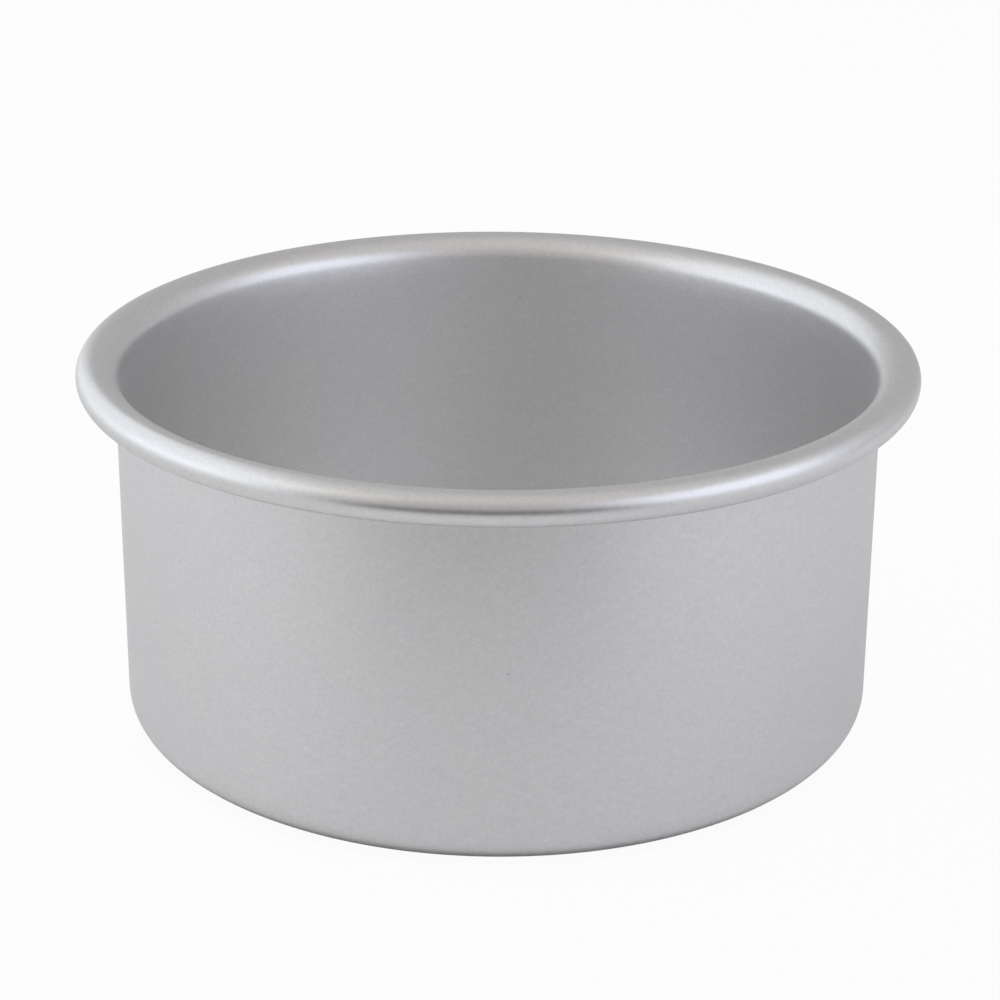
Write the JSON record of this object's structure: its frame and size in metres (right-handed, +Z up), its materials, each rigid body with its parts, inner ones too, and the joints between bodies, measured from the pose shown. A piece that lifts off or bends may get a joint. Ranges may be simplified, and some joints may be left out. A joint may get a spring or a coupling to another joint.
{
  "type": "loose-base cake tin",
  "caption": "Round straight-sided cake tin with a hollow rolled rim and a turned-in ledge, holding a loose flat base that pushes up to release the cake.",
  "frame": {"origin": "middle of the face the tin stands on, on its round axis", "axes": "+Z up along the round axis, out of the open mouth; X and Y across the tin, which is the same all round"},
  "size_m": [0.1702, 0.1702, 0.0774],
  "materials": {
    "satin_wall": "satin anodised, fine sandy grain",
    "satin_base": "satin anodised, fine sandy grain"
  },
  "bodies": {
    "tin": {"tin_wall": "satin_wall"},
    "base": {"loose_base": "satin_base"}
  },
  "joints": [
    {"name": "base_lift", "type": "slide", "parent": "tin", "child": "base", "axis": [0, 0, 1], "range_m": [0, 0.09]}
  ]
}
